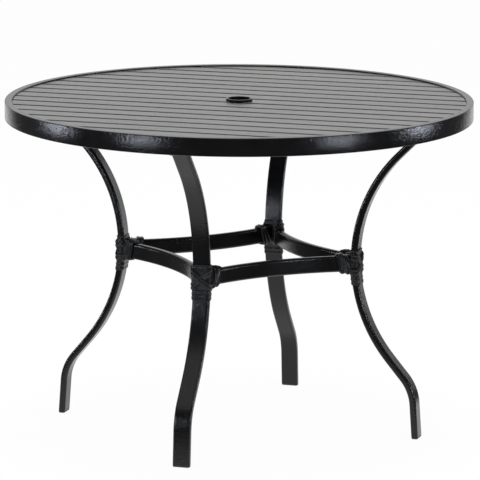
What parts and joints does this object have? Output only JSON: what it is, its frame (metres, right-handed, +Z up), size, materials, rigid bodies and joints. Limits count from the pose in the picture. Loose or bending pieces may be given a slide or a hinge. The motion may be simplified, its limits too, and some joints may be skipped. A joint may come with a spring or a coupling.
{
  "type": "round slatted patio table",
  "caption": "Round patio dining table with a slatted metal top, umbrella hole and lift-out ring, on S-bent flat tube legs tied by bowed stretchers with cast binding joints.",
  "frame": {"origin": "on the floor, under the centre of the top", "axes": "+Z up through the umbrella hole, X along the slats, legs on the X and Y axes"},
  "size_m": [1.016, 1.016, 0.7259],
  "materials": {
    "frame_steel": "gloss black powder coat with a fine orange-peel texture",
    "slat_steel": "satin dark grey powder coat with a faint streak along the slat",
    "cast_metal": "semi-gloss black powder coat over a casting shaped like a cane binding",
    "ring_plastic": "gloss moulded black plastic",
    "glide_plastic": "matt moulded black plastic",
    "fastener_steel": "zinc-plated steel"
  },
  "bodies": {
    "table": {"foot_glide_back": "glide_plastic", "foot_glide_front": "glide_plastic", "foot_glide_left": "glide_plastic", "foot_glide_right": "glide_plastic", "joint_casting_back": "cast_metal", "joint_casting_front": "cast_metal", "joint_casting_left": "cast_metal", "joint_casting_right": "cast_metal", "leg_back": "frame_steel", "leg_bolts": "fastener_steel", "leg_front": "frame_steel", "leg_left": "frame_steel", "leg_plate_back": "frame_steel", "leg_plate_front": "frame_steel", "leg_plate_left": "frame_steel", "leg_plate_right": "frame_steel", "leg_right": "frame_steel", "leg_washers": "fastener_steel", "rivet_nuts": "fastener_steel", "slat_01": "slat_steel", "slat_02": "slat_steel", "slat_03": "slat_steel", "slat_04": "slat_steel", "slat_05": "slat_steel", "slat_06": "slat_steel", "slat_07": "slat_steel", "slat_08": "slat_steel", "slat_09_left": "slat_steel", "slat_09_right": "slat_steel", "slat_10": "slat_steel", "slat_11": "slat_steel", "slat_12": "slat_steel", "slat_13": "slat_steel", "slat_14": "slat_steel", "slat_15": "slat_steel", "slat_16": "slat_steel", "slat_17": "slat_steel", "slat_ledge_1": "frame_steel", "slat_ledge_2": "frame_steel", "slat_ledge_3": "frame_steel", "slat_ledge_4": "frame_steel", "stretcher_back_left": "frame_steel", "stretcher_back_right": "frame_steel", "stretcher_front_left": "frame_steel", "stretcher_front_right": "frame_steel", "support_rail_back": "frame_steel", "support_rail_front": "frame_steel", "support_rail_left": "frame_steel", "support_rail_right": "frame_steel", "top_rim": "frame_steel", "umbrella_hub": "frame_steel"},
    "liner": {"umbrella_ring": "ring_plastic"}
  },
  "joints": [
    {"name": "umbrella_ring_lift", "type": "slide", "parent": "table", "child": "liner", "axis": [0, 0, 1], "range_m": [0, 0.06]}
  ]
}
